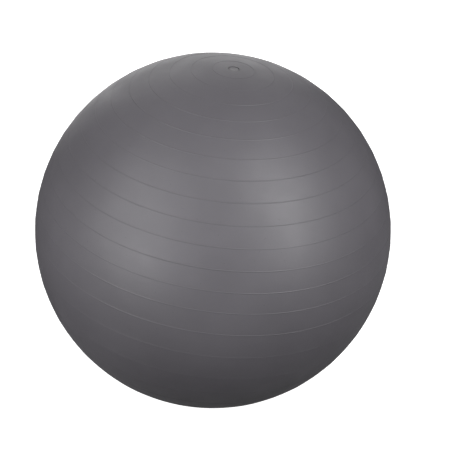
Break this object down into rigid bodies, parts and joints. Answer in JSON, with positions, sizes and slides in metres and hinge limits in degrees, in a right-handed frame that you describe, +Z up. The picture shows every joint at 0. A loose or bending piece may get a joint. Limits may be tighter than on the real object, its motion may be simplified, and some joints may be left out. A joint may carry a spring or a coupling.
{
  "type": "exercise ball",
  "caption": "Inflated grey vinyl exercise ball with raised rib rings and a recessed pull-out stopper plug in a moulded valve seat.",
  "frame": {"origin": "middle of the small flat that the ball's own weight presses into it where it stands on the floor", "axes": "+Z up along the moulding axis, from the floor flat to the valve, about which every rib ring runs; +X and +Y are alike, because the ball is a body of revolution"},
  "size_m": [0.6506, 0.6506, 0.6476],
  "materials": {
    "ball_vinyl": "satin",
    "seat_vinyl": "satin",
    "plug_plastic": "satin"
  },
  "bodies": {
    "ball": {"shell": "ball_vinyl", "valve_seat": "seat_vinyl"},
    "plug": {"plug": "plug_plastic"}
  },
  "joints": [
    {"name": "plug_pull", "type": "slide", "parent": "ball", "child": "plug", "axis": [0, 0, 1], "range_m": [0, 0.06]}
  ]
}
